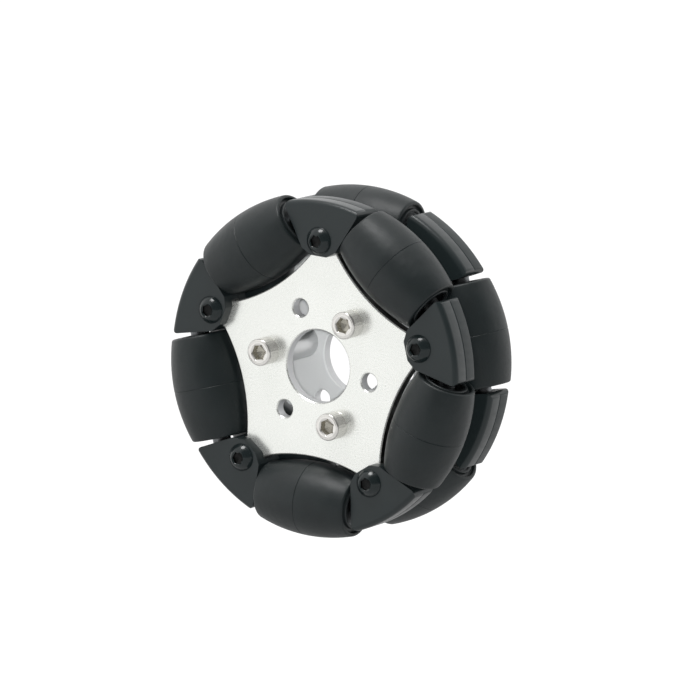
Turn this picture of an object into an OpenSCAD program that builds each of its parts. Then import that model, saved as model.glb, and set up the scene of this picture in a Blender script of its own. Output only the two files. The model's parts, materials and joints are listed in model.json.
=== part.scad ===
// Omni wheel with two rows of free rollers.
//
// The wheel turns about Y, with its front towards -Y and Z up. The origin is the wheel's
// centre, on the axis and half way between the two rows. Each row is one lobed hub plate
// whose lobes carry moulded brackets, each clamped in two halves by one screw. An axle runs
// from each bracket to the next and carries one barrel-shaped roller on two ball bearings,
// held between two spacer rings.
// The rear row is the front row turned half a roller pitch, so that its rollers fill the
// gaps between the front ones and the wheel always stands on rubber.

/* [Wheel] */
// Diameter over the rollers
wheel_d = 127; // [122:0.5:150]
// Distance between the middle planes of the two rows
row_pitch = 25.4; // [24:0.1:32]
// Turn of the whole wheel about its axis, from a front bracket at the top
clocking = -4.25; // [-36:0.05:36]

/* [Rollers] */
// Diameter of a roller at its middle
roller_d = 27.4; // [25:0.1:29]
// Length of a roller
roller_len = 38.6; // [34:0.1:40]
// Radius of the rubber's shoulder at each end
shoulder_r = 1; // [0.6:0.1:1.6]
// Diameter of the core that the rubber is moulded on
core_d = 17.6; // [17:0.1:18.2]
// Depth of the ring-shaped recess in each end of the rubber
recess_depth = 1.5; // [0.8:0.1:2.5]
// Outer diameter of that recess
recess_d = 18.8; // [18.4:0.1:19.2]
// Diameter of the core's boss inside the recess
boss_d = 16; // [15.2:0.1:16.8]
// Diameter of the hole through the core between its bearings
core_bore_d = 9; // [7:0.5:11]

/* [Roller bearings] */
// Outer diameter of a bearing
bearing_d = 14; // [13.4:0.1:14.6]
// Width of a bearing
bearing_w = 5; // [4:0.5:6]
// How far a bearing sits inside the end of its core
bearing_inset = 0.5; // [0.2:0.1:1.5]
// Radial thickness of a bearing's rings
bearing_ring_t = 1; // [0.8:0.1:1.3]
// Depth of the shields below a bearing's rings
shield_depth = 0.3; // [0.1:0.1:0.6]
// Gap between the shields and the bearing's inner ring
shield_gap = 0.08; // [0.05:0.01:0.15]
// Diameter of an axle
axle_d = 5; // [4:0.1:5.6]
// Length of axle held in the bracket beyond each end of the roller
axle_hold = 8; // [6:0.5:9]
// Outer diameter of a spacer ring
ring_d = 6.9; // [6.5:0.1:7.1]
// Depth to which a spacer ring is let into the side of its bracket
ring_sink = 0.2; // [0.1:0.1:0.5]
// Total play of a roller along its axle
end_play = 0.1; // [0.05:0.05:0.3]

/* [Hub plates] */
// Thickness of a plate
plate_t = 4.5; // [3.5:0.1:6]
// Diameter of the centre bore
bore_d = 27; // [20:0.5:30]
// Diameter of the circle of hub holes
hub_pcd = 44.5; // [42:0.5:46]
// Diameter of a hub hole that is free for a hub's own screw
hub_hole_d = 6.6; // [6.2:0.1:8]
// Gap between the plate's scallops and the rollers
scallop_gap = 2.3; // [1.5:0.1:3]
// Radius of a lobe round its bracket screw
lobe_r = 7; // [6.5:0.1:7.5]
// Chamfer along the plate's scallops and round its holes
plate_chamfer = 0.4; // [0.2:0.1:0.8]

/* [Brackets] */
// Width of a bracket along the wheel's axis
bracket_w = 14; // [12:0.5:16]
// Drop of the bracket's tread below the rollers
tread_drop = 1.9; // [1:0.1:3]
// Radius of the edge between a bracket's face and its tread
edge_r = 2; // [1:0.1:3]
// Radius of the bracket's two outer corners
corner_r = 2; // [1:0.1:3]
// Chamfer at the seam between the bracket's halves
seam_chamfer = 0.3; // [0.1:0.1:0.6]
// Gap between a bracket's side and the roller's end, on the axle's line
end_gap = 1.6; // [1.4:0.1:2.5]
// Angle by which a bracket's side leans away from the roller's end
side_flare = 5.7; // [3:0.1:7]
// Distance of the bracket screws inside the circle of axles
screw_setback = 2.7; // [1.5:0.1:3.5]
// Length of bracket from the screw to its inner end
heel_len = 5.6; // [5.3:0.1:6]
// Width of the flat at the inner end
heel_w = 7; // [5:0.5:9]
// Depth of the two chamfers at the inner end
heel_chamfer = 2.2; // [1.5:0.1:3]

/* [Fasteners] */
// Thread diameter of all screws
screw_d = 6; // [5:0.1:6.2]
// Head diameter of a hub screw
hub_head_d = 10; // [9:0.1:10.5]
// Head height of a hub screw
hub_head_h = 6; // [5:0.1:7]
// Length of a hub screw under its head
hub_screw_len = 35; // [35:0.5:40]
// Head diameter of a bracket screw
button_d = 10.5; // [9.5:0.1:10.8]
// Head height of a bracket screw
button_h = 3.3; // [2.8:0.1:3.6]
// Length of a bracket screw under its head
bracket_screw_len = 16; // [15:0.5:17]
// Size across the flats of a nut
nut_af = 10; // [9:0.1:10.5]
// Thickness of a nut
nut_h = 5; // [4:0.1:5.2]
// Depth of the nut's pocket in a bracket
nut_pocket = 3; // [2:0.1:3.4]
// Outer diameter of the spacers between the plates
spacer_d = 12; // [10:0.5:13]

/* [Clearances] */
// Side clearance of a screw in a bracket
screw_clear = 0.2; // [0.1:0.05:0.4]
// Side clearance of the wheel's own screws in the plates and spacers, which they line up
hub_screw_clear = 0.1; // [0.05:0.05:0.15]
// Clearance round a piece that sits in a moulded pocket
pocket_clear = 0.15; // [0.05:0.05:0.3]
// Radial clearance of an axle in its brackets, of a bearing on its axle and in its core,
// and of a screw in its nut
seat_clear = 0.02; // [0.01:0.01:0.05]

/* [Hidden] */
$fn = 96;
EPS = 0.01;
ROLLERS = 5;                               // rollers, and brackets, in a row
ROWS = ["front", "rear"];
STEP = 360 / ROLLERS;
HALF = STEP / 2;                           // from a bracket to the rollers beside it
HUB_HOLES = 6;                             // every second one takes a hub screw
HOLE_STEP = 360 / HUB_HOLES;
wheel_r = wheel_d / 2;
axle_r = wheel_r - roller_d / 2;           // radius of the circle that the axles touch
plate_r = axle_r - screw_setback;          // radius of the circle of bracket screws
tread_r = wheel_r - tread_drop;
scallop_r = wheel_r + scallop_gap;
plate_gap = row_pitch - plate_t;
outer_face = (row_pitch + plate_t) / 2;    // hub plate's outer face, from the centre
inner_ring_d = axle_d + 2 * (seat_clear + bearing_ring_t);
bearing_face = roller_len / 2 - bearing_inset;   // a bearing's outer face, from the roller's middle

// ---- Frames ----

// From a wheel that lies face up, with its axis along Z, to the standing wheel
module standing() { rotate([90, 0, 0]) rotate([0, 0, clocking]) children(); }

// A row's middle plane, with Z towards that row's own outer side
module row_plane(row) {
    if (row == "front") translate([0, 0, row_pitch / 2]) children();
    else rotate([0, 0, 180]) translate([0, 0, -row_pitch / 2]) rotate([0, 180, 0]) children();
}

// A station of a row: Y runs outwards from the wheel's axis and X runs round the wheel
module station(row, angle) { standing() row_plane(row) rotate([0, 0, angle]) children(); }
module at_bracket(row, i) { station(row, STEP * (i - 1)) children(); }
module at_roller(row, i) { station(row, STEP * (i - 1) + HALF) translate([0, axle_r, 0]) children(); }

// Every second hub hole from the first one on. Hole 0 lies in line with the middle of a roller:
// the wheel's own screws hold the even ones, and the odd ones are free for a hub's.
module at_hub_holes(first) {
    for (k = [first : 2 : HUB_HOLES - 1])
        rotate([0, 0, HOLE_STEP * k - HALF]) translate([0, hub_pcd / 2, 0]) children();
}
module at_hub_screws() { standing() at_hub_holes(0) children(); }

// ---- Hub plates ----

// A plate is a disc scalloped by the rollers, with a round lobe at each bracket. A scallop is
// concentric with the hub side of the roller beside it.
module at_lobes() { for (k = [1 : ROLLERS]) rotate([0, 0, STEP * k]) translate([0, plate_r, 0]) children(); }
module at_scallops() {
    for (k = [1 : ROLLERS]) rotate([0, 0, STEP * k - HALF]) translate([0, 2 * axle_r, 0]) children();
}

// A round cut through a plate with both its edges chamfered
module chamfered_cut(r) {
    cylinder(r = r, h = plate_t + 2 * EPS, center = true);
    for (side = [0, 1]) mirror([0, 0, side]) translate([0, 0, plate_t / 2 - plate_chamfer])
        cylinder(r1 = r, r2 = r + plate_chamfer + EPS, h = plate_chamfer + EPS);
}

module plate_blank() {
    difference() {
        union() {
            difference() {
                cylinder(r = plate_r, h = plate_t, center = true);
                at_scallops() chamfered_cut(scallop_r);
            }
            at_lobes() cylinder(r = lobe_r, h = plate_t, center = true);
        }
        chamfered_cut(bore_d / 2);
        at_lobes() cylinder(d = screw_d + 2 * screw_clear, h = plate_t + 2 * EPS, center = true);
    }
}

// Both plates are cut to the same outline: the rear one is turned half a turn, which brings its
// lobes half way between the front ones. Their hub holes are drilled in line.
module hub_plate(turn) {
    color("#e9e8e3") difference() {
        rotate([0, 0, turn]) plate_blank();
        at_hub_holes(0) chamfered_cut(screw_d / 2 + hub_screw_clear);
        at_hub_holes(1) chamfered_cut(hub_hole_d / 2);
    }
}
module front_plate() { standing() translate([0, 0, row_pitch / 2]) hub_plate(0); }
module rear_plate() { standing() translate([0, 0, -row_pitch / 2]) hub_plate(180); }

// ---- Brackets ----

// The side of a bracket is a line beside the roller's end, leaning away from it by side_flare.
// side_n is its outward normal, and side_d its distance from the wheel's axis along that normal.
side_angle = HALF - side_flare;
side_n = [cos(side_angle), -sin(side_angle)];
side_t = [sin(side_angle), cos(side_angle)];
axle_at_end = [axle_r * sin(HALF) - roller_len / 2 * cos(HALF),
               axle_r * cos(HALF) + roller_len / 2 * sin(HALF)];
side_d = axle_at_end * side_n - end_gap;
function side_x(y) = (side_d - y * side_n.y) / side_n.x;

// Centre of the arc that rounds the corner between the side and the tread
corner_c = side_n * (side_d - corner_r)
    + side_t * sqrt(pow(tread_r - corner_r, 2) - pow(side_d - corner_r, 2));
heel_y = plate_r - heel_len;

// Outline of a bracket, seen along the wheel's axis
module bracket_outline() {
    side = corner_c + side_n * corner_r;
    right = [[heel_w / 2, heel_y], [side_x(heel_y + heel_chamfer), heel_y + heel_chamfer],
             side, corner_c, 2 * corner_c];
    intersection() {
        circle(r = tread_r);
        polygon(concat(right, [for (k = [len(right) - 1 : -1 : 0]) [-right[k].x, right[k].y]]));
    }
    for (side = [-1, 1]) translate([side * corner_c.x, corner_c.y]) circle(r = corner_r);
}

// Section of a half bracket round the wheel's axis: the tread, its rounded edge and the seam
module half_section() {
    half_w = bracket_w / 2;
    flat_r = tread_r - edge_r;
    square([flat_r, half_w]);
    translate([0, seam_chamfer]) square([tread_r, half_w - edge_r - seam_chamfer]);
    polygon([[flat_r, 0], [tread_r - seam_chamfer, 0], [tread_r, seam_chamfer], [flat_r, seam_chamfer]]);
    translate([flat_r, half_w - edge_r]) circle(r = edge_r);
}

// From the bracket between two rollers to each of them, with X along the roller's axle, away
// from the bracket, and its origin at the roller's middle
module to_rollers() {
    for (side = [0, 1]) mirror([side, 0, 0])
        rotate([0, 0, -HALF]) translate([0, axle_r, 0]) children();
}
// Where a spacer ring's seat in the bracket lies on that axle
ring_seat = roller_len / 2 + end_gap / cos(side_flare)
    + (ring_d / 2 + pocket_clear) * tan(side_flare) + ring_sink;

// The space that a plate with its lobe takes in the brackets, with a clearance all round it
module plate_pocket() {
    difference() {
        cylinder(r = plate_r, h = plate_t, center = true);
        at_scallops() cylinder(r = scallop_r - pocket_clear, h = 2 * plate_t, center = true);
    }
    at_lobes() cylinder(r = lobe_r + pocket_clear, h = plate_t, center = true);
}

// One half of a bracket, from the seam at z = 0 to its face. Both halves are cut out for the
// plate's lobe, for the ends of two axles with their spacer rings, and for the screw.
module bracket_half() {
    difference() {
        intersection() {
            linear_extrude(bracket_w) bracket_outline();
            rotate_extrude() half_section();
        }
        plate_pocket();
        to_rollers() rotate([0, 90, 0]) {
            cylinder(d = axle_d + 2 * seat_clear, h = roller_len + 2 * (axle_hold + pocket_clear), center = true);
            cylinder(d = ring_d + 2 * pocket_clear, h = 2 * ring_seat, center = true);
        }
        translate([0, plate_r, -EPS]) cylinder(d = screw_d + 2 * screw_clear, h = bracket_w);
    }
}
module bracket_outer() { color("#2c2f30") bracket_half(); }
module bracket_inner() {
    color("#2c2f30") rotate([0, 180, 0]) difference() {
        bracket_half();
        translate([0, plate_r, bracket_w / 2 - nut_pocket]) nut_shape(nut_h + EPS, nut_af + 2 * pocket_clear);
    }
}

// ---- Fasteners ----

// A hexagonal prism with its flats af apart
module nut_shape(h, af) { cylinder(d = af / cos(30), h = h, $fn = 6); }

module nut(h = nut_h) {
    rim_drop = (nut_af / cos(30) - nut_af) / 2 * tan(30);
    intersection() {
        difference() {
            nut_shape(h, nut_af);
            translate([0, 0, -EPS]) cylinder(d = screw_d + 2 * seat_clear, h = h + 2 * EPS);
        }
        union() {
            cylinder(d = nut_af / cos(30) + EPS, h = h - rim_drop);
            translate([0, 0, h - rim_drop])
                cylinder(d1 = nut_af / cos(30) + EPS, d2 = nut_af, h = rim_drop);
        }
    }
}

// Cap screw with a tall round head and a hexagon socket; the head sits on z = 0
module cap_screw() {
    rim = 0.04 * hub_head_d;
    socket_af = 0.5 * hub_head_d;
    difference() {
        union() {
            cylinder(d = hub_head_d, h = hub_head_h - rim);
            translate([0, 0, hub_head_h - rim]) cylinder(d1 = hub_head_d, d2 = hub_head_d - 2 * rim, h = rim);
            translate([0, 0, -hub_screw_len]) cylinder(d = screw_d, h = hub_screw_len + EPS);
        }
        translate([0, 0, hub_head_h / 2]) nut_shape(hub_head_h, socket_af);
    }
}

// Screw with a low domed head and a hexagon socket; the head sits on z = 0
module button_screw() {
    dome_r = (pow(button_d / 2, 2) + pow(button_h, 2)) / (2 * button_h);
    socket_af = 0.38 * button_d;
    difference() {
        union() {
            intersection() {
                translate([0, 0, button_h - dome_r]) sphere(r = dome_r);
                cylinder(d = button_d, h = button_h);
            }
            translate([0, 0, -bracket_screw_len]) cylinder(d = screw_d, h = bracket_screw_len + EPS);
        }
        translate([0, 0, button_h * 0.36]) nut_shape(button_h, socket_af);
    }
}

module hub_screws() { color("#d5d4cf") at_hub_screws() translate([0, 0, outer_face]) cap_screw(); }
module hub_nuts() { color("#c9c9c6") at_hub_screws() translate([0, 0, -outer_face]) rotate([0, 180, 0]) nut(); }
module hub_spacers() {
    color("#b9bab8") at_hub_screws() translate([0, 0, -plate_gap / 2]) difference() {
        cylinder(d = spacer_d, h = plate_gap);
        translate([0, 0, -EPS]) cylinder(d = screw_d + 2 * hub_screw_clear, h = plate_gap + 2 * EPS);
    }
}
module bracket_screws() {
    color("#232526") for (row = ROWS, i = [1 : ROLLERS])
        at_bracket(row, i) translate([0, plate_r, bracket_w / 2]) button_screw();
}
module bracket_nuts() {
    color("#8f9090") for (row = ROWS, i = [1 : ROLLERS])
        at_bracket(row, i) translate([0, plate_r, nut_pocket - bracket_w / 2]) rotate([0, 180, 0]) nut();
}

// ---- Rollers, drawn about the X axis of their station ----

// Turns a section, with its radius along x and its length along y, about the roller's axis
module turned() { rotate([0, 90, 0]) rotate_extrude() children(); }
module both_ends() { children(); mirror([0, 1]) children(); }

// The barrel's tread is an arc about the wheel's own axis, so the wheel rolls as a true circle.
// shoulder_c is the centre of the arc that rounds the barrel's end.
shoulder_c = [sqrt(pow(wheel_r - shoulder_r, 2) - pow(roller_len / 2 - shoulder_r, 2)) - axle_r,
              roller_len / 2 - shoulder_r];
module barrel_section() {
    both_ends() {
        intersection() {
            translate([-axle_r, 0]) circle(r = wheel_r, $fn = 360);
            polygon([[0, -1], [0, roller_len / 2], [shoulder_c.x, roller_len / 2], shoulder_c,
                     2 * shoulder_c + [axle_r, 0], [2 * shoulder_c.x + axle_r, -1]]);
        }
        translate(shoulder_c) circle(r = shoulder_r);
    }
}

module tyre() {
    color("#26282a") turned() difference() {
        barrel_section();
        translate([-EPS, -roller_len]) square([core_d / 2 + EPS, 2 * roller_len]);
        translate([-roller_len, -roller_len]) square([roller_len, 2 * roller_len]);
        both_ends() translate([0, roller_len / 2 - recess_depth])
            square([recess_d / 2, recess_depth + EPS]);
    }
}

module core() {
    body_len = roller_len - 2 * recess_depth;
    seat_len = bearing_inset + bearing_w;
    color("#3a3c3d") turned() difference() {
        union() {
            translate([0, -body_len / 2]) square([core_d / 2, body_len]);
            translate([0, -roller_len / 2]) square([boss_d / 2, roller_len]);
        }
        translate([-EPS, -roller_len]) square([core_bore_d / 2 + EPS, 2 * roller_len]);
        both_ends() translate([0, roller_len / 2 - seat_len])
            square([bearing_d / 2 + seat_clear, seat_len + EPS]);
    }
}

// Two ball bearings, one in each end of the core: the outer ring with its two shields turns
// with the roller, and the inner ring stays on the axle
module at_bearings() { both_ends() translate([0, bearing_face - bearing_w]) children(); }
module ring_section(d1, d2, w) { translate([d1 / 2, 0]) square([(d2 - d1) / 2, w]); }

module bearings() {
    shield_d = inner_ring_d + 2 * shield_gap;
    color("#c4c6c6") turned() at_bearings() difference() {
        ring_section(shield_d, bearing_d, bearing_w);
        for (y = [-EPS, bearing_w - shield_depth]) translate([0, y])
            ring_section(shield_d - 1, bearing_d - 2 * bearing_ring_t, shield_depth + EPS);
    }
}

module bearing_inner_rings() {
    color("#c4c6c6") for (row = ROWS, i = [1 : ROLLERS])
        at_roller(row, i) turned() at_bearings() ring_section(axle_d + 2 * seat_clear, inner_ring_d, bearing_w);
}

// Each spacer ring fills the space from its seat in the bracket to the bearing's inner ring
module spacer_rings() {
    color("#a9acac") for (row = ROWS, i = [1 : ROLLERS])
        at_roller(row, i) turned() both_ends() translate([0, bearing_face + end_play / 2])
            ring_section(axle_d + 2 * seat_clear, ring_d, ring_seat - bearing_face - end_play / 2);
}

module axles() {
    color("#b4b6b6") for (row = ROWS, i = [1 : ROLLERS]) at_roller(row, i) rotate([0, 90, 0])
        cylinder(d = axle_d, h = roller_len + 2 * axle_hold, center = true);
}

// ---- The wheel ----

front_plate();
rear_plate();
hub_spacers();
hub_screws();
hub_nuts();
bracket_screws();
bracket_nuts();
axles();
spacer_rings();
bearing_inner_rings();
for (row = ROWS, i = [1 : ROLLERS]) {
    at_bracket(row, i) bracket_outer();
    at_bracket(row, i) bracket_inner();
    at_roller(row, i) tyre();
    at_roller(row, i) core();
    at_roller(row, i) bearings();
}
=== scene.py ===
"""Looks of an omni wheel with two rows of free rollers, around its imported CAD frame.

The wheel turns about Y, with its front towards -Y and Z up, and its centre is the origin.
Lengths are in millimetres up to the mesh, and in metres from there on.
"""

import json
import math

import bmesh
import bpy
import numpy as np
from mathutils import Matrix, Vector


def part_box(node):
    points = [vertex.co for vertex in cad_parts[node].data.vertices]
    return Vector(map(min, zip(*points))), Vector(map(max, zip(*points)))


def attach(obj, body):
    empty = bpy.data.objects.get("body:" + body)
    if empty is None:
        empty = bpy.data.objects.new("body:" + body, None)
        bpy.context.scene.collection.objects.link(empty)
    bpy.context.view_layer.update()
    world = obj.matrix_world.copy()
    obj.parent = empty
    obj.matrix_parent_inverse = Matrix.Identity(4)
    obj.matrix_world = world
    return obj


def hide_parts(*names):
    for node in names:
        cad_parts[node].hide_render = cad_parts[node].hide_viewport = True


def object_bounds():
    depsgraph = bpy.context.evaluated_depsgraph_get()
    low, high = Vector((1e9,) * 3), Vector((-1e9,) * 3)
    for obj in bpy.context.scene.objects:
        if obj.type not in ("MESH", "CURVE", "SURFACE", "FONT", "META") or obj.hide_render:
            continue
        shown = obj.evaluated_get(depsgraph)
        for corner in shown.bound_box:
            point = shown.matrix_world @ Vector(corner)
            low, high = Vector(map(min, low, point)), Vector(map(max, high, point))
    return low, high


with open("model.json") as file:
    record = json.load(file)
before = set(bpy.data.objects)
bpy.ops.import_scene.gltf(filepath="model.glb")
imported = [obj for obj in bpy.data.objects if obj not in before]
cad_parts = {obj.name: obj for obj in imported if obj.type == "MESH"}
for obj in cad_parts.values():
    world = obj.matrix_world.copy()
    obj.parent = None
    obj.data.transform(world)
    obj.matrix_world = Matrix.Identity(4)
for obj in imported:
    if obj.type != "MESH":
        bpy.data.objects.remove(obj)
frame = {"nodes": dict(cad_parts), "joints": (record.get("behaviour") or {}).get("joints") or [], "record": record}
CAD_BOX = [list(corner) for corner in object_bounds()]

MM = 0.001


# ---- Sizes of the wheel's pieces ----

JOINTS = {joint["name"]: joint for joint in frame["joints"]}
MOUNTS = {mount["name"]: mount for mount in frame["record"]["mounts"]}
ROWS = {"front": -1, "rear": 1}                  # which way along Y each row faces
PLACES = (1, 2, 3, 4, 5)
HALF_STEP = 180 / len(PLACES)                    # degrees from a roller to the bracket beside it

WHEEL_R = (CAD_BOX[1][2] - CAD_BOX[0][2]) / 2 / MM
AXLE_RING_R = math.hypot(*JOINTS["front_roller_1_spin"]["pos_m"][::2]) / MM
ROW_Y = abs(JOINTS["front_roller_1_spin"]["pos_m"][1]) / MM

# Tyres and cores
ROLLER_LEN = 38.6
SHOULDER_R = 1.0
PARTING_W, PARTING_DEPTH = 0.36, 0.14            # the shallow V that the mould leaves round a tyre
CORE_D, CORE_BORE_D = 17.6, 9.0
RECESS_D, RECESS_DEPTH = 18.8, 1.5
RECESS_EDGE_R, RECESS_FOOT_R = 0.35, 0.3
BOSS_D, BOSS_EDGE_R, BOSS_FOOT_R = 16.0, 0.3, 0.2
SEAT_EDGE_R, BORE_EDGE_R = 0.15, 0.2

# Bearings, axles and the rings on them
BEARING_D, BEARING_W = 14.0, 5.0
BEARING_INSET = 0.5
BEARING_EDGE_R, BEARING_MOUTH_R = 0.3, 0.1       # its ring's edges outside and round the shields
BEARING_RING_T = 1.0                             # radial thickness of a bearing's rings
SHIELD_DEPTH, SHIELD_GAP = 0.3, 0.08
SEAT_CLEAR = 0.02
AXLE_D, AXLE_EDGE_R = 5.0, 0.4
AXLE_HOLD = 8.0                                  # how far an axle goes on past its roller's end
AXLE_CENTRE_R = 0.01                             # the fan that closes an axle's end is this wide
RING_D, RING_EDGE_R = 6.9, 0.15
RING_SINK = 0.2                                  # how far a ring is let into its bracket
END_PLAY = 0.1
END_GAP = 1.6                                    # from a roller's end to the bracket's leaning side
SIDE_FLARE = math.radians(5.7)                   # how far that side leans
POCKET_CLEAR = 0.15
INNER_RING_D = AXLE_D + 2 * (SEAT_CLEAR + BEARING_RING_T)
BEARING_FACE = ROLLER_LEN / 2 - BEARING_INSET
BEARING_SEAT = BEARING_FACE - BEARING_W
RING_SEAT = (ROLLER_LEN / 2 + END_GAP / math.cos(SIDE_FLARE)
             + (RING_D / 2 + POCKET_CLEAR) * math.tan(SIDE_FLARE) + RING_SINK)

# Plates and brackets
PLATE_BOX, BRACKET_HALF_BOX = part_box("front_plate"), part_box("front_bracket_outer_1")
PLATE_T = (PLATE_BOX[1].y - PLATE_BOX[0].y) / MM
OUTER_FACE = -PLATE_BOX[0].y / MM
BRACKET_HALF_W = (BRACKET_HALF_BOX[1].y - BRACKET_HALF_BOX[0].y) / MM
PLATE_EDGE, BRACKET_EDGE = 0.1, 0.3              # how wide their sharp edges are rounded
HOLES_WITHIN = 28.0                              # radius that holds the plates' holes for the hub

# Screws, nuts and spacer tubes
SCREW_D, SCREW_CLEAR, TIP_CHAMFER = 6.0, 0.1, 0.6
HUB_SCREWS = 3
HUB_HEAD_D, HUB_HEAD_H, HUB_SCREW_LEN = 10.0, 6.0, 35.0
HEAD_FOOT = 0.3                                  # chamfer where a head meets the plate
HEAD_EDGE_R = 0.07 * HUB_HEAD_D
HEAD_GROOVE_W, HEAD_GROOVE_DEPTH = 0.1, 0.06     # the fine groove inside the head's rounded edge
KNURLS, KNURL_DEPTH = 30, 0.08
KNURLS_FROM, KNURLS_FULL = 0.7, 0.9              # the heights at which they start and are full
KNURLS_STOP = 0.35                               # and how far they end below the rounded edge
HUB_SOCKET_AF = 5.0
HUB_MOUTH_R = 0.655 * HUB_SOCKET_AF
HUB_SOCKET_FLOOR = HUB_HEAD_H / 2
HUB_FLOOR_TAPER, BUTTON_FLOOR_TAPER = 0.94, 0.97
LEAD_IN, LEAD_IN_TAPER = 0.3, 1.04               # depth of each half of a socket's lead-in
FLOOR_EDGE = 0.05                                # height of the chamfer round a socket's floor
HUB_DRILL_R, HUB_DRILL_DEPTH = 0.4, 1.1          # the cone that the drill leaves in that floor
BUTTON_D, BUTTON_H, BRACKET_SCREW_LEN = 10.5, 3.3, 16.0
BUTTON_SOCKET_AF = 4.0
BUTTON_LIP_R = 0.62 * BUTTON_SOCKET_AF           # the fine lip round its socket's mouth
LIP_HALF_W, LIP_RISE, DOME_STOP = 0.05, 0.03, 0.2
BUTTON_FOOT, BUTTON_RIM_H, BUTTON_RIM_IN = 0.25, 0.08, 0.03
DOME_FROM = 0.25                                 # the height at which the dome starts
BUTTON_SOCKET_FLOOR = 0.36 * BUTTON_H
BUTTON_DRILL_R, BUTTON_DRILL_DEPTH = 0.3, 0.6
NUT_AF, NUT_H, NUT_POCKET = 10.0, 5.0, 3.0
NUT_FACE_R = 0.985 * NUT_AF / 2                  # the round face that the nut's chamfer leaves
NUT_CHAMFER = math.radians(30)
THREAD_CHAMFER = 0.4
SPACER_D, SPACER_EDGE_R = 12.0, 0.3
SCREW_SETBACK = 2.7                              # how far inside the axles' ring its screws lie
HUB_SCREW_TURN, HUB_NUT_TURN, BUTTON_TURN = 17, 11, 23    # degrees from each one to the next
NUT_IN_POCKET_TURN = 30

# Points round each turned piece, and rings along its curves
TYRE_POINTS, CORE_POINTS, BEARING_POINTS, RING_POINTS, AXLE_POINTS = 144, 96, 72, 64, 48
HEX_POINTS, KNURL_POINTS = 96, 8
TREAD_FROM, TREAD_RINGS, SHOULDER_RINGS, DOME_RINGS = 0.7, 26, 9, 14


# ---- Node helpers ----

# A Mix node's sockets, whose names repeat: its factor, two numbers, two colours, and the result
FACTOR, NUMBER_A, NUMBER_B, COLOUR_A, COLOUR_B, MIXED_COLOUR = 0, 2, 3, 6, 7, 2
NOISE_LOW, NOISE_HIGH = 0.3, 0.7                 # most of a noise texture lies between these


def linear(hex_colour):
    """An sRGB colour such as "#3a3c3e" as the linear RGBA that a shader takes."""
    srgb = np.array([int(hex_colour[k:k + 2], 16) for k in (1, 3, 5)]) / 255
    rgb = np.where(srgb <= 0.04045, srgb / 12.92, ((srgb + 0.055) / 1.055) ** 2.4)
    return (*rgb.tolist(), 1.0)


def add_node(tree, kind, inputs=None, **settings):
    """Adds a node. Each input is a value, or an output socket to link from."""
    node = tree.nodes.new(kind)
    for name, value in settings.items():
        setattr(node, name, value)
    for key, value in (inputs or {}).items():
        if isinstance(value, bpy.types.NodeSocket):
            tree.links.new(value, node.inputs[key])
        else:
            node.inputs[key].default_value = value
    return node


def new_material(name):
    """An empty material with its Principled shader, and the object's own coordinates in metres."""
    material = bpy.data.materials.new(name)
    material.use_nodes = True
    tree = material.node_tree
    tree.nodes.clear()
    shader = add_node(tree, "ShaderNodeBsdfPrincipled")
    output = add_node(tree, "ShaderNodeOutputMaterial")
    tree.links.new(shader.outputs["BSDF"], output.inputs["Surface"])
    where = add_node(tree, "ShaderNodeTexCoord").outputs["Object"]
    return material, tree, shader, where


def grain_scale(size_mm):
    """The scale of a noise texture on Object coordinates whose grains are size_mm across."""
    return 1 / (size_mm * MM)


def grained(name, colours, grain_mm, roughness, bump_mm, metallic=0.0, patch_mm=12.0,
            wave_mm=0.0, **fixed):
    """A finish with an even fine grain and faint broad patches.

    colours are its darker and lighter sRGB shades, roughness its least and most, bump_mm the
    height of the grain and wave_mm the height of broad waves as wide as the patches. The real
    grain of these finishes is finer than 0.2 mm, too fine to show in the render, so grain_mm is
    as coarse as it needs to be to show.
    """
    material, tree, shader, where = new_material(name)
    grain = add_node(tree, "ShaderNodeTexNoise",
                     {"Vector": where, "Scale": grain_scale(grain_mm), "Detail": 3.0}).outputs[0]
    patch = add_node(tree, "ShaderNodeTexNoise",
                     {"Vector": where, "Scale": grain_scale(patch_mm), "Detail": 2.0}).outputs[0]
    shade = add_node(tree, "ShaderNodeMix",
                     {FACTOR: patch, COLOUR_A: linear(colours[0]), COLOUR_B: linear(colours[1])},
                     data_type="RGBA")
    gloss = add_node(tree, "ShaderNodeMapRange",
                     {"Value": grain, "From Min": NOISE_LOW, "From Max": NOISE_HIGH,
                      "To Min": roughness[0], "To Max": roughness[1]})
    bump = add_node(tree, "ShaderNodeBump",
                    {"Height": grain, "Strength": 1.0, "Distance": bump_mm * MM})
    if wave_mm:
        bump = add_node(tree, "ShaderNodeBump",
                        {"Height": patch, "Normal": bump.outputs[0], "Strength": 1.0,
                         "Distance": wave_mm * MM})
    tree.links.new(shade.outputs[MIXED_COLOUR], shader.inputs["Base Color"])
    tree.links.new(gloss.outputs[0], shader.inputs["Roughness"])
    tree.links.new(bump.outputs[0], shader.inputs["Normal"])
    shader.inputs["Metallic"].default_value = metallic
    for socket, value in fixed.items():
        shader.inputs[socket.replace("_", " ")].default_value = value
    return material


# Aluminium plate, blasted fine and clear anodised: pale satin, softly mirroring what is near it
SATIN_ALUMINIUM = grained("satin_anodised_aluminium", ("#eef0eb", "#f3f4f0"), 0.25, (0.24, 0.3),
                          0.0006, metallic=0.8)
# The plates' inner faces, blasted coarser before anodising: as pale, and nearly matt
BLASTED_ALUMINIUM = grained("bead_blasted_aluminium", ("#e9ebeb", "#eff1f1"), 0.25, (0.5, 0.6),
                            0.002, metallic=0.1)
# The plates' laser-cut outline: coloured darker than the faces as painted shade, and it mirrors the black rollers
# that stand beside it
CUT_EDGE_PAINTED_SHADE = grained("cut_edge_aluminium_painted_shade", ("#8f908e", "#9d9e9c"), 0.4, (0.34, 0.44),
                        0.002, metallic=1.0)
# The walls of the bored and drilled holes: a grey darker than the faces as painted shade, with little mirror in
# them
HOLE_WALL_PAINTED_SHADE = grained("hole_wall_aluminium_painted_shade", ("#c6c7c8", "#d2d3d4"), 0.4, (0.34, 0.44),
                          0.002, metallic=0.3)
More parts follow.
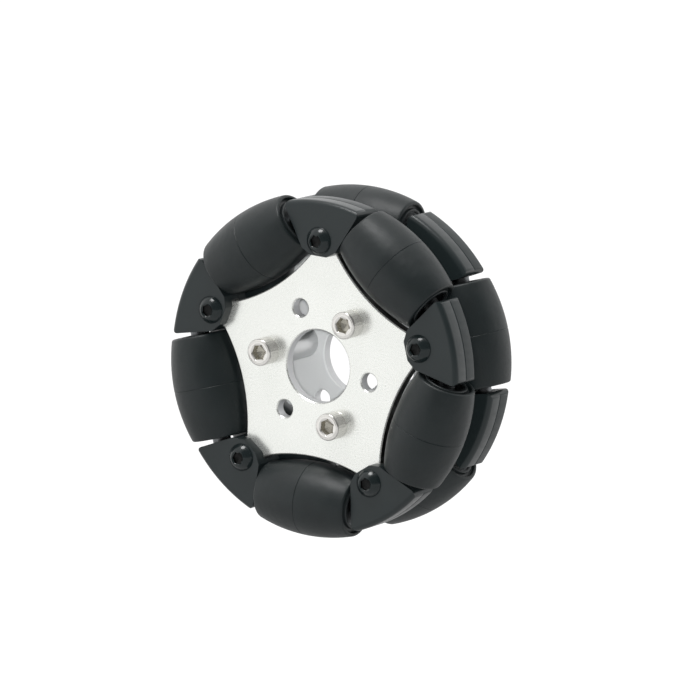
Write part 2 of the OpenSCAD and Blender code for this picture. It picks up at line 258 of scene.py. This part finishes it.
# Glass-filled nylon, moulded: charcoal, with the fine even texture of its mould
MOULDED_NYLON = grained("moulded_nylon", ("#191f20", "#1e2526"), 0.3, (0.3, 0.38),
                        0.003, Specular_IOR_Level=0.42)
# Moulded rubber: nearly black and satin, with a waxy bloom that shows as faint patches
TREAD_RUBBER = grained("tread_rubber", ("#0e1415", "#171e1f"), 0.35, (0.42, 0.54),
                       0.003, patch_mm=9.0, wave_mm=0.4, Specular_IOR_Level=0.46)
# Moulded plastic core of a roller: black, a little paler than the tyre
MOULDED_CORE = grained("moulded_core", ("#1d2122", "#232728"), 0.3, (0.4, 0.48), 0.003)
# Zinc-plated steel: bright and slightly warm
ZINC_STEEL = grained("zinc_plated_steel", ("#dfddd9", "#eae8e4"), 0.5, (0.14, 0.2),
                     0.0015, metallic=0.88)
# Inside a socket: grey, darker than the plating outside, as painted shade in the recess
PAINTED_SHADE_SOCKET_STEEL = grained("socket_steel_painted_shade", ("#b6b2a6", "#c5c2b8"), 0.4, (0.2, 0.3),
                       0.002, metallic=0.8)
# Ground steel of axles and spacer rings: darkened to grey
GROUND_STEEL = grained("ground_steel", ("#6f7173", "#7d7f81"), 0.6, (0.3, 0.38),
                       0.001, metallic=1.0)
# Pressed steel shields and rings of the bearings: dark grey, darker than their steel as painted shade of the
# narrow gaps they sit in
BEARING_STEEL = grained("bearing_steel_painted_shade", ("#55585a", "#626567"), 0.6, (0.32, 0.42),
                        0.001, metallic=1.0)
# Black oxide on steel screws: dark, with a sharp small highlight
BLACK_OXIDE = grained("black_oxide_steel", ("#131a1b", "#192021"), 0.3, (0.16, 0.22),
                      0.001, Specular_IOR_Level=0.45)
# Inside the black screws' sockets: painted shade in the recess, black and half matt
PAINTED_SHADE_SOCKET_OXIDE = grained("socket_oxide_painted_shade", ("#060707", "#0a0b0b"), 0.3, (0.4, 0.5),
                       0.001, Specular_IOR_Level=0.3)
# Turned aluminium spacer tubes: pale grey, with a plain metal gloss
TURNED_ALUMINIUM = grained("turned_aluminium", ("#c6c7c7", "#d2d3d3"), 0.4, (0.28, 0.36),
                           0.002, metallic=1.0)


# ---- Meshes: solids as arrays of points and faces ----

NEW_EDGE_FROM = math.radians(32)                 # an edge of a new piece is sharp past this angle


def rounded(corners, radii, steps=5):
    """A polyline whose corner k becomes an arc of radius radii[k] that touches both its sides.

    For unit vectors u and v from the corner along its sides, with the angle 2h between them, the
    arc's centre lies at r / sin(h) along u + v, and it starts and ends at r / tan(h) along u and v.
    """
    corners = np.asarray(corners, float)
    path = [corners[:1]]
    for before, corner, after, radius in zip(corners, corners[1:], corners[2:], radii[1:-1]):
        if radius == 0:
            path.append(corner[None])
            continue
        u, v = (before - corner), (after - corner)
        u, v = u / np.linalg.norm(u), v / np.linalg.norm(v)
        half = math.acos(np.clip(u @ v, -1, 1)) / 2
        bisector = (u + v) / np.linalg.norm(u + v)
        centre = corner + bisector * radius / math.sin(half)
        side = (u - v) / np.linalg.norm(u - v)
        turn = np.linspace(-1, 1, steps + 1) * (math.pi / 2 - half)
        path.append(centre - radius * (np.outer(np.cos(turn), bisector)
                                       + np.outer(np.sin(turn), side)))
    path.append(corners[-1:])
    return np.concatenate(path)


def around(count):
    """Angles of a full turn."""
    return np.arange(count) * 2 * math.pi / count


def hexagon(flats, angle):
    """Radius of a hexagon that measures flats across its flats.

    It is flats / 2 / cos(a), for the angle a from the middle of the nearest flat.
    """
    return flats / 2 / np.cos(np.mod(angle, math.pi / 3) - math.pi / 6)


def lofted(rings, count, looped=False):
    """Rings about Z: point(ring, angle) = (radius cos angle, radius sin angle, height).

    Each ring is its radius and height, and either may be an array of one value for each angle. A
    loop of rings closes on itself; otherwise a fan to the centre closes the first and the last.
    """
    radius, height = (np.array([np.broadcast_to(ring[k], count) for ring in rings], float)
                      for k in (0, 1))
    angle = around(count)
    points = np.stack([radius * np.cos(angle), radius * np.sin(angle), height], -1).reshape(-1, 3)
    number = len(rings)
    row, spot = np.meshgrid(np.arange(number if looped else number - 1), np.arange(count),
                            indexing="ij")
    next_row, next_spot = (row + 1) % number, (spot + 1) % count
    faces = np.stack([row * count + spot, row * count + next_spot,
                      next_row * count + next_spot, next_row * count + spot], -1)
    faces = faces.reshape(-1, 4).tolist()
    if not looped:
        spots, last = np.arange(count), (number - 1) * count
        for first, middle, flip in ((0, height[0].mean(), True), (last, height[-1].mean(), False)):
            pole = len(points)
            points = np.vstack([points, [0, 0, middle]])
            a, b = first + spots, first + (spots + 1) % count
            faces += np.stack([np.full(count, pole), *((b, a) if flip else (a, b))], -1).tolist()
    return points, faces, np.zeros(len(faces), int)


def second_finish(solid, rings, count):
    """The solid with its last rings, and the fan that closes them, in the piece's second finish."""
    points, faces, finish = solid
    # The solid's faces end with its two fans, that of the first ring and that of the last
    finish[len(faces) - (rings + 2) * count:len(faces) - 2 * count] = 1
    finish[-count:] = 1
    return points, faces, finish


def placed(solid, origin, axis, towards):
    """A solid moved so that its Z lies along axis, and its X as near to towards as that allows."""
    points, faces, finish = solid
    z = np.asarray(axis, float) / np.linalg.norm(axis)
    x = np.asarray(towards, float) - np.dot(towards, z) * z
    x /= np.linalg.norm(x)
    return np.asarray(origin) + points @ np.stack([x, np.cross(z, x), z]), faces, finish


def joined(solids):
    """Several solids as one."""
    points, faces, start = [], [], 0
    for solid_points, solid_faces, _ in solids:
        points.append(solid_points)
        faces += [[corner + start for corner in face] for face in solid_faces]
        start += len(solid_points)
    return np.concatenate(points), faces, np.concatenate([finish for _, _, finish in solids])


def shown(mesh, body, node):
    """The piece for a mesh: it rides on a body, and the CAD node that it stands for is hidden."""
    obj = bpy.data.objects.new(mesh.name, mesh)
    bpy.context.scene.collection.objects.link(obj)
    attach(obj, body)
    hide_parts(node)
    return obj


def piece(name, solid, finishes, body, node):
    """A piece from a solid in millimetres, in place of a CAD node, smooth up to sharp edges."""
    points, faces, finish = solid
    mesh = bpy.data.meshes.new(name)
    mesh.from_pydata((points * MM).tolist(), [], faces)
    mesh.polygons.foreach_set("use_smooth", np.ones(len(faces), bool))
    mesh.polygons.foreach_set("material_index", finish)
    mesh.set_sharp_from_angle(angle=NEW_EDGE_FROM)
    for material in finishes:
        mesh.materials.append(material)
    return shown(mesh, body, node)


# ---- Rollers ----

def mirrored(profile):
    """A loop from its upper half, which runs from the middle of its outside to that of its bore."""
    profile = np.asarray(profile, float)
    return np.concatenate([profile, profile[::-1] * (1, -1)])


def tyre_profile():
    """Section of a tyre, a barrel: its tread, its shoulders and the recess in each end.

    The tread is an arc about the wheel's own axis, radius(h) = sqrt(wheel radius^2 - h^2) less
    the distance from that axis to the axle, with a shallow V round its middle. The shoulder is
    an arc that touches the tread and the flat end.
    """
    end = ROLLER_LEN / 2
    reach = math.sqrt((WHEEL_R - SHOULDER_R) ** 2 - (end - SHOULDER_R) ** 2)
    centre = np.array([reach - AXLE_RING_R, end - SHOULDER_R])
    touch = math.atan2(centre[1], centre[0] + AXLE_RING_R)
    height = np.concatenate([[0, PARTING_W / 2],
                             np.linspace(TREAD_FROM, WHEEL_R * math.sin(touch), TREAD_RINGS)])
    tread = np.stack([np.sqrt(WHEEL_R ** 2 - height ** 2) - AXLE_RING_R, height], -1)
    tread[0, 0] -= PARTING_DEPTH
    turn = np.linspace(touch, math.pi / 2, SHOULDER_RINGS)[1:]
    shoulder = centre + SHOULDER_R * np.stack([np.cos(turn), np.sin(turn)], -1)
    flat = centre[0] - 0.4                       # a place on the flat end
    floor, mouth, core = end - RECESS_DEPTH, RECESS_D / 2, CORE_D / 2
    recess = rounded([(flat, end), (mouth, end), (mouth, floor), (core, floor), (core, 0)],
                     [0, RECESS_EDGE_R, RECESS_FOOT_R, 0, 0])
    return mirrored(np.concatenate([tread, shoulder, recess]))


def core_profile():
    """Section of a core: its body, a boss in each recess, the bearings' seats and the bore."""
    end, seat = ROLLER_LEN / 2, BEARING_SEAT
    body, boss, bore = CORE_D / 2, BOSS_D / 2, CORE_BORE_D / 2
    bearing = BEARING_D / 2 + SEAT_CLEAR
    return mirrored(rounded(
        [(body, 0), (body, end - RECESS_DEPTH), (boss, end - RECESS_DEPTH), (boss, end),
         (bearing, end), (bearing, seat), (bore, seat), (bore, 0)],
        [0, 0, BOSS_FOOT_R, BOSS_EDGE_R, SEAT_EDGE_R, 0, BORE_EDGE_R, 0]))


def bearing_profile():
    """Section of a bearing's outer ring with its shields, which lie a little below its faces."""
    inner, outer = INNER_RING_D / 2 + SHIELD_GAP, BEARING_D / 2
    mouth, shield = outer - BEARING_RING_T, BEARING_W - SHIELD_DEPTH
    corners = [(outer, 0), (outer, BEARING_W), (mouth, BEARING_W), (mouth, shield),
               (inner, shield), (inner, SHIELD_DEPTH), (mouth, SHIELD_DEPTH), (mouth, 0)]
    radii = [0, BEARING_EDGE_R, BEARING_MOUTH_R, 0, 0, 0, 0, BEARING_MOUTH_R, BEARING_EDGE_R, 0, 0]
    return rounded(corners + corners[:3], radii)[1:-2]


def ring(inner_d, outer_d, width, edge=RING_EDGE_R):
    """A plain ring with slightly rounded edges, from height 0 to its width."""
    a, b = inner_d / 2, outer_d / 2
    corners = [(b, width / 2), (b, width), (a, width), (a, 0), (b, 0), (b, width / 2)]
    section = rounded(corners, [0, edge, edge / 2, edge / 2, edge, 0])[:-1]
    return lofted(section, RING_POINTS, looped=True)


def roller_frame(row, place):
    """A roller's middle, its axle's direction and the way out to it from the wheel's axis."""
    joint = JOINTS[f"{row}_roller_{place}_spin"]
    middle = np.array(joint["pos_m"]) / MM
    return middle, np.array(joint["axis"]), middle * (1, 0, 1)


def at_both_ends(solid, start, origin, axis, towards):
    """Two copies of a solid, each start along the axle from the middle and facing outwards."""
    return joined([placed(solid, origin + way * start * axis, way * axis, towards)
                   for way in (-1, 1)])


def rollers():
    """The tyre, core and bearings that turn together, at each place of each row."""
    tyre = lofted(tyre_profile(), TYRE_POINTS, looped=True)
    core = lofted(core_profile(), CORE_POINTS, looped=True)
    bearing = lofted(bearing_profile(), BEARING_POINTS, looped=True)
    for row in ROWS:
        for place in PLACES:
            where = roller_frame(row, place)
            pair = at_both_ends(bearing, BEARING_SEAT, *where)
            for kind, solid, finish in (("tyre", placed(tyre, *where), TREAD_RUBBER),
                                        ("core", placed(core, *where), MOULDED_CORE),
                                        ("bearings", pair, BEARING_STEEL)):
                piece(f"{row}_{kind}_look_{place}", solid, (finish,), f"{row}_roller_{place}",
                      f"{row}_{kind}_{place}")


def axle_pieces():
    """The axles, and the rings that stay on them while the rollers turn."""
    half, r = ROLLER_LEN / 2 + AXLE_HOLD, AXLE_D / 2
    rod = lofted(rounded([(AXLE_CENTRE_R, -half), (r, -half), (r, half), (AXLE_CENTRE_R, half)],
                         [0, AXLE_EDGE_R, AXLE_EDGE_R, 0]), AXLE_POINTS)
    fit = AXLE_D + 2 * SEAT_CLEAR
    inner = ring(fit, INNER_RING_D, BEARING_W)
    spacer = ring(fit, RING_D, RING_SEAT - BEARING_FACE - END_PLAY / 2)
    frames = [roller_frame(row, place) for row in ROWS for place in PLACES]
    rods = [placed(rod, *where) for where in frames]
    inners = [at_both_ends(inner, BEARING_SEAT, *where) for where in frames]
    spacers = [at_both_ends(spacer, BEARING_FACE + END_PLAY / 2, *where) for where in frames]
    for node, solids, finish in (("axles", rods, GROUND_STEEL),
                                 ("bearing_inner_rings", inners, BEARING_STEEL),
                                 ("spacer_rings", spacers, GROUND_STEEL)):
        piece(f"{node}_look", joined(solids), (finish,), "hub", node)


# ---- Screws, nuts and spacer tubes ----

def turned_by(direction, degrees):
    """A direction across the wheel turned about Y, with X turning towards Z."""
    a = math.radians(degrees)
    x, z = direction[0], direction[2]
    return np.array([x * math.cos(a) - z * math.sin(a), 0, x * math.sin(a) + z * math.cos(a)])


def across(row, place, degrees=0.0):
    """Unit direction from the wheel's axis to a roller, or degrees past it."""
    out = turned_by(roller_frame(row, place)[2], degrees)
    return out / np.linalg.norm(out)


def shank(length):
    """Rings of a screw's shank, from its chamfered tip up to height 0."""
    r = SCREW_D / 2
    return [(r - TIP_CHAMFER, -length), (r, TIP_CHAMFER - length), (r, 0)]


def cap_screw():
    """Socket head cap screw, its head on height 0.

    Its rings go up the shank and the knurled side, over the rounded edge and the fine groove
    inside that, and down the hexagon to the drill's cone. The knurls are a cosine round the side:
    radius(angle) = head's radius - depth * (1 - cos(knurls * angle)) / 2.
    """
    angle = around(KNURLS * KNURL_POINTS)
    head, top, floor = HUB_HEAD_D / 2, HUB_HEAD_H, HUB_SOCKET_FLOOR
    face, hexa = head - HEAD_EDGE_R, hexagon(HUB_SOCKET_AF, angle)
    side = head - KNURL_DEPTH * (1 - np.cos(KNURLS * angle)) / 2
    edge = rounded([(head, top - 2 * HEAD_EDGE_R), (head, top), (head - 2 * HEAD_EDGE_R, top)],
                   [0, HEAD_EDGE_R, 0], steps=6)[1:-1]
    rings = [*shank(HUB_SCREW_LEN), (head - HEAD_FOOT, 0), (head, HEAD_FOOT),
             (head, KNURLS_FROM), (side, KNURLS_FULL), (side, top - HEAD_EDGE_R - KNURLS_STOP),
             *edge, (face - HEAD_GROOVE_W, top - HEAD_GROOVE_DEPTH),
             (face - 2 * HEAD_GROOVE_W, top), (HUB_MOUTH_R, top),
             (LEAD_IN_TAPER * hexa, top - LEAD_IN), (hexa, top - 2 * LEAD_IN),
             (hexa, floor + FLOOR_EDGE), (HUB_FLOOR_TAPER * hexa, floor),
             (HUB_DRILL_R, floor - HUB_DRILL_DEPTH)]
    # The socket's walls and floor take the second finish, darker as painted shade
    return second_finish(lofted(rings, len(angle)), rings=4, count=len(angle))


def button_screw():
    """Button head screw, its head on height 0.

    Its dome is a cap of the sphere through the head's rim and top: radius(h) is
    sqrt(R^2 - (h + R - H)^2), with R = (rim^2 + H^2) / (2 H) for the rim's radius and height H.
    """
    sphere = ((BUTTON_D / 2) ** 2 + BUTTON_H ** 2) / (2 * BUTTON_H)
    hexa = hexagon(BUTTON_SOCKET_AF, around(HEX_POINTS))
    lip, floor = BUTTON_LIP_R, BUTTON_SOCKET_FLOOR
    top = math.sqrt(sphere ** 2 - (lip + DOME_STOP) ** 2) - sphere + BUTTON_H
    height = np.linspace(DOME_FROM, top, DOME_RINGS)
    dome = np.sqrt(sphere ** 2 - (height + sphere - BUTTON_H) ** 2)
    rings = [*shank(BRACKET_SCREW_LEN), (dome[0] - BUTTON_FOOT, 0),
             (dome[0] - BUTTON_RIM_IN, BUTTON_RIM_H), *zip(dome, height),
             (lip + LIP_HALF_W, top + LIP_RISE), (lip - LIP_HALF_W, top - LIP_HALF_W),
             (hexa, top - LEAD_IN), (hexa, floor + FLOOR_EDGE),
             (BUTTON_FLOOR_TAPER * hexa, floor), (BUTTON_DRILL_R, floor - BUTTON_DRILL_DEPTH)]
    # The socket's walls and floor take the second finish, black as painted shade
    return second_finish(lofted(rings, HEX_POINTS), rings=3, count=HEX_POINTS)


def nut():
    """Hexagon nut on height 0.

    A cone takes its upper corners off, so each flat ends in a curve: height(angle) is the nut's
    height less tan(chamfer) times how far the hexagon's radius is past half its flats.
    """
    hexa, bore = hexagon(NUT_AF, around(HEX_POINTS)), SCREW_D / 2 + SEAT_CLEAR
    cone = NUT_H - (hexa - NUT_AF / 2) * math.tan(NUT_CHAMFER)
    mouth = bore + THREAD_CHAMFER
    rings = [(hexa, 0), (hexa, cone), (NUT_FACE_R, NUT_H), (mouth, NUT_H),
             (bore, NUT_H - THREAD_CHAMFER), (bore, THREAD_CHAMFER), (mouth, 0)]
    return lofted(rings, HEX_POINTS, looped=True)


def hub_fasteners():
    """The screws that hold the two plates together, with their nuts and spacer tubes."""
    front, rear = np.array([0, -1, 0]), np.array([0, 1, 0])
    circle = MOUNTS["hub_holes"]["dims"]["pcd_mm"] / 2
    gap = 2 * ROW_Y - PLATE_T
    tube = ring(SCREW_D + 2 * SCREW_CLEAR, SPACER_D, gap, SPACER_EDGE_R)
    # The first is in line with the front row's last roller
    outward = [across("front", PLACES[-1], 360 / HUB_SCREWS * k) for k in range(HUB_SCREWS)]
    for node, solid, start, axis, turn, finishes in (
            ("hub_screws", cap_screw(), front * OUTER_FACE, front, HUB_SCREW_TURN,
             (ZINC_STEEL, PAINTED_SHADE_SOCKET_STEEL)),
            ("hub_nuts", nut(), rear * OUTER_FACE, rear, HUB_NUT_TURN, (ZINC_STEEL,)),
            ("hub_spacers", tube, front * gap / 2, rear, 0, (TURNED_ALUMINIUM,))):
        copies = [placed(solid, out * circle + start, axis, turned_by(out, turn * k))
                  for k, out in enumerate(outward)]
        piece(f"{node}_look", joined(copies), finishes, "hub", node)


def bracket_fasteners():
    """The screw that holds the two halves of each bracket together, and its nut in its pocket."""
    screw, small_nut = button_screw(), nut()
    screws, nuts = [], []
    for row, way in ROWS.items():
        for place in PLACES:
            out = across(row, place, way * HALF_STEP)
            face = np.array([0, way, 0])
            middle = out * (AXLE_RING_R - SCREW_SETBACK) + face * ROW_Y
            screws.append(placed(screw, middle + face * BRACKET_HALF_W, face,
                                 turned_by(out, BUTTON_TURN * place)))
            nuts.append(placed(small_nut, middle - face * (BRACKET_HALF_W - NUT_POCKET), -face,
                               turned_by(out, NUT_IN_POCKET_TURN)))
    piece("bracket_screws_look", joined(screws), (BLACK_OXIDE, PAINTED_SHADE_SOCKET_OXIDE), "hub",
          "bracket_screws")
    piece("bracket_nuts_look", joined(nuts), (ZINC_STEEL,), "hub", "bracket_nuts")


# ---- Plates and brackets ----

MERGE_WITHIN = 2e-6                              # metres; a CAD mesh's doubled points are closer
FLAT_WITHIN = math.radians(0.6)                  # faces closer in direction than this become one
CAD_EDGE_FROM = math.radians(28)                 # an edge of a CAD shape is sharp past this angle
PLATE_FINISHES = (SATIN_ALUMINIUM, CUT_EDGE_PAINTED_SHADE, BLASTED_ALUMINIUM, HOLE_WALL_PAINTED_SHADE)


def dressed(node, edge_mm, finishes, outward=-1):
    """A merged copy of a CAD node with every sharp edge rounded to edge_mm.

    With four finishes, the first goes on the faces that look outward along Y, the second on the
    walls square to them, the third on the faces that look the other way, and the fourth on the
    walls of the holes near the wheel's axis. The second and the fourth are darker than the
    first, as painted shade on the walls.
    """
    mesh = frame["nodes"][node].data.copy()
    mesh.name = f"{node}_look"
    work = bmesh.new()
    work.from_mesh(mesh)
    bmesh.ops.remove_doubles(work, verts=work.verts, dist=MERGE_WITHIN)
    bmesh.ops.dissolve_limit(work, angle_limit=FLAT_WITHIN, verts=work.verts, edges=work.edges)
    work.to_mesh(mesh)
    work.free()
    mesh.polygons.foreach_set("use_smooth", np.ones(len(mesh.polygons), bool))
    mesh.set_sharp_from_angle(angle=CAD_EDGE_FROM)
    mesh.materials.clear()
    for finish in finishes:
        mesh.materials.append(finish)
    if len(finishes) == len(PLATE_FINISHES):
        normals, centres = np.empty((2, 3 * len(mesh.polygons)))
        mesh.polygons.foreach_get("normal", normals)
        mesh.polygons.foreach_get("center", centres)
        # 0 on the faces that look outward, 1 on the walls and 2 on the faces that look back
        index = 1 - np.rint(outward * normals[1::3]).astype(int)
        radius = np.hypot(centres[::3], centres[2::3])
        in_a_hole = (index == 1) & (radius < HOLES_WITHIN * MM)
        mesh.polygons.foreach_set("material_index", np.where(in_a_hole, 3, index))
    bevel = shown(mesh, "hub", node).modifiers.new("rounded_edges", "BEVEL")
    bevel.width, bevel.segments, bevel.limit_method = edge_mm * MM, 2, "ANGLE"
    bevel.angle_limit = CAD_EDGE_FROM
    bevel.harden_normals = True


def plates_and_brackets():
    """Each row's plate, and the two halves of its five brackets."""
    for row, way in ROWS.items():
        dressed(f"{row}_plate", PLATE_EDGE, PLATE_FINISHES, way)
        for place in PLACES:
            for half in ("outer", "inner"):
                dressed(f"{row}_bracket_{half}_{place}", BRACKET_EDGE, (MOULDED_NYLON,))


rollers()
axle_pieces()
hub_fasteners()
bracket_fasteners()
plates_and_brackets()

# The hidden CAD nodes behind the pieces get their finishes, by the first key that a name holds
FINISHES = {"plate": SATIN_ALUMINIUM, "bracket_outer": MOULDED_NYLON,
            "bracket_inner": MOULDED_NYLON, "tyre": TREAD_RUBBER, "core": MOULDED_CORE,
            "bearing": BEARING_STEEL, "axles": GROUND_STEEL, "spacer_rings": GROUND_STEEL,
            "hub_spacers": TURNED_ALUMINIUM, "hub_screws": ZINC_STEEL, "hub_nuts": ZINC_STEEL,
            "bracket_screws": BLACK_OXIDE, "bracket_nuts": ZINC_STEEL}
for name, node in frame["nodes"].items():
    node.data.materials.clear()
    node.data.materials.append(next(finish for key, finish in FINISHES.items() if key in name))


# ---- Camera, floor and light ----

# Lengths are in metres from here on, but for the lens and its sensor
CAMERA_FROM = (32.167, 9.482)                    # azimuth and elevation
CAMERA_TARGET = Vector((13.82, -14.95, 7.27)) * MM
CAMERA_DISTANCE = 1803.5 * MM
LENS_MM, SENSOR_W_MM = 256.1, 36.0
CLIP_END = 50.0
FLOOR_Z, FLOOR_HALF = -190.0 * MM, 6.0
FLOOR_SEEN = 0.55                                # the glow that makes it white to the camera
# The floor's share of the room's brightness in a reflection, up to NEAR from the wheel and past FAR; the lower
# share near the wheel is a painted shadow
NEAR, FAR = 0.3, 0.9
SHARE_NEAR, SHARE_FAR = 0.15, 0.5
# How bright the room looks in reflections, and how much it lights the matt surfaces
ROOM_SEEN, ROOM_LIGHT = 1.0, 0.44
# The sides of the room that differ, an open dim one and a bright one: azimuth and elevation of
# the middle, the angles from there up to which the side is full and past which it ends, and its
# share of the room's brightness
SIDES = [((50, 8), (40, 74), 0.1), ((-120, 5), (28, 70), 1.25)]
# Each lamp's azimuth and elevation, the angle it fills as seen from the wheel, its strength, and
# whether it shows in reflections
LAMPS = [("overhead", (-14, 74), 24, 1.6, True),
         ("back", (172, 36), 60, 1.4, False),
         ("front", (32.5, 9.8), 3, 2.0, False)]


def aimed(azimuth, elevation):
    """Unit direction from the wheel to a place in the studio: 0 is straight in front, 90 is +X."""
    a, e = math.radians(azimuth), math.radians(elevation)
    return (math.sin(a) * math.cos(e), -math.cos(a) * math.cos(e), math.sin(e))


def seen_towards(tree, direction):
    """How bright the room looks in a direction: plain, but for its sides that differ.

    It is a product over the sides of a factor that goes smoothly from 1 to the side's share, by
    the cosine of the angle between the direction and the side's middle.
    """
    unit = add_node(tree, "ShaderNodeVectorMath", {0: direction}, operation="NORMALIZE").outputs[0]
    seen = ROOM_SEEN
    for side, (inner, outer), share in SIDES:
        cosine = add_node(tree, "ShaderNodeVectorMath", {0: unit, 1: aimed(*side)},
                          operation="DOT_PRODUCT").outputs["Value"]
        factor = add_node(tree, "ShaderNodeMapRange",
                          {"Value": cosine, "From Min": math.cos(math.radians(outer)),
                           "From Max": math.cos(math.radians(inner)),
                           "To Min": 1.0, "To Max": share},
                          interpolation_type="SMOOTHSTEP").outputs[0]
        seen = add_node(tree, "ShaderNodeMath", {0: seen, 1: factor},
                        operation="MULTIPLY").outputs[0]
    return seen


def place_camera():
    """A camera with a long lens, in front of the wheel and to its right."""
    back = Vector(aimed(*CAMERA_FROM))
    camera = bpy.data.objects.new("camera", bpy.data.cameras.new("camera"))
    bpy.context.scene.collection.objects.link(camera)
    camera.data.sensor_width = SENSOR_W_MM
    camera.data.lens = LENS_MM
    camera.data.clip_end = CLIP_END
    camera.location = CAMERA_TARGET + back * CAMERA_DISTANCE
    camera.rotation_euler = back.to_track_quat("Z", "Y").to_euler()
    bpy.context.scene.camera = camera


def lay_floor():
    """A floor that is white to the camera but for the shadows on it.

    In a reflection it is as bright as the room looks in its direction, times a share that grows
    with its distance from the wheel: the lower share near it is a painted shadow of the wheel.
    """
    half, z = FLOOR_HALF, FLOOR_Z
    mesh = bpy.data.meshes.new("floor")
    mesh.from_pydata([(-half, -half, z), (half, -half, z), (half, half, z), (-half, half, z)],
                     [], [(0, 1, 2, 3)])
    floor = bpy.data.objects.new("floor", mesh)
    bpy.context.scene.collection.objects.link(floor)
    material, tree, shader, where = new_material("white_floor")
    shader.inputs["Base Color"].default_value = linear("#b0b0b0")
    shader.inputs["Roughness"].default_value = 0.9
    shader.inputs["Specular IOR Level"].default_value = 0.0
    shader.inputs["Emission Color"].default_value = linear("#ffffff")
    path = add_node(tree, "ShaderNodeLightPath").outputs
    mirrored_in = add_node(tree, "ShaderNodeMath",
                           {0: path["Is Glossy Ray"], 1: path["Is Transmission Ray"]},
                           operation="MAXIMUM").outputs[0]
    away = add_node(tree, "ShaderNodeVectorMath", {0: where}, operation="LENGTH").outputs["Value"]
    # The share is lower near the wheel: a painted shadow of the wheel in reflections
    share = add_node(tree, "ShaderNodeMapRange",
                     {"Value": away, "From Min": NEAR, "From Max": FAR,
                      "To Min": SHARE_NEAR, "To Max": SHARE_FAR}).outputs[0]
    glow = add_node(tree, "ShaderNodeMath", {0: seen_towards(tree, where), 1: share},
                    operation="MULTIPLY").outputs[0]
    glow = add_node(tree, "ShaderNodeMath", {0: mirrored_in, 1: glow},
                    operation="MULTIPLY").outputs[0]
    glow = add_node(tree, "ShaderNodeMix",
                    {FACTOR: path["Is Camera Ray"], NUMBER_A: glow,
                     NUMBER_B: FLOOR_SEEN}).outputs[0]
    tree.links.new(glow, shader.inputs["Emission Strength"])
    mesh.materials.append(material)


def light_room():
    """A room that is white to the camera and lights matt surfaces evenly.

    Its dim side and its bright side show only in reflections, and shape the highlights on black.
    """
    world = bpy.data.worlds.new("studio")
    world.use_nodes = True
    bpy.context.scene.world = world
    tree = world.node_tree
    tree.nodes.clear()
    room = seen_towards(tree, add_node(tree, "ShaderNodeTexCoord").outputs["Generated"])
    path = add_node(tree, "ShaderNodeLightPath").outputs
    strength = add_node(tree, "ShaderNodeMix",
                        {FACTOR: path["Is Diffuse Ray"], NUMBER_A: room,
                         NUMBER_B: ROOM_LIGHT}).outputs[0]
    strength = add_node(tree, "ShaderNodeMix",
                        {FACTOR: path["Is Camera Ray"], NUMBER_A: strength,
                         NUMBER_B: 1.0}).outputs[0]
    light = add_node(tree, "ShaderNodeBackground",
                     {"Color": linear("#ffffff"), "Strength": strength})
    output = add_node(tree, "ShaderNodeOutputWorld")
    tree.links.new(light.outputs[0], output.inputs["Surface"])


def hang_lamps():
    """Far lamps, each as wide as the angle that it fills."""
    for name, direction, spread, strength, mirrored_in in LAMPS:
        lamp = bpy.data.lights.new(name, "SUN")
        lamp.angle, lamp.energy = math.radians(spread), strength
        obj = bpy.data.objects.new(name, lamp)
        bpy.context.scene.collection.objects.link(obj)
        towards = Vector(aimed(*direction))
        obj.rotation_euler = towards.to_track_quat("Z", "Y").to_euler()
        obj.location = towards
        obj.visible_glossy = mirrored_in


place_camera()
lay_floor()
light_room()
hang_lamps()
bpy.context.scene.view_settings.view_transform = "Standard"
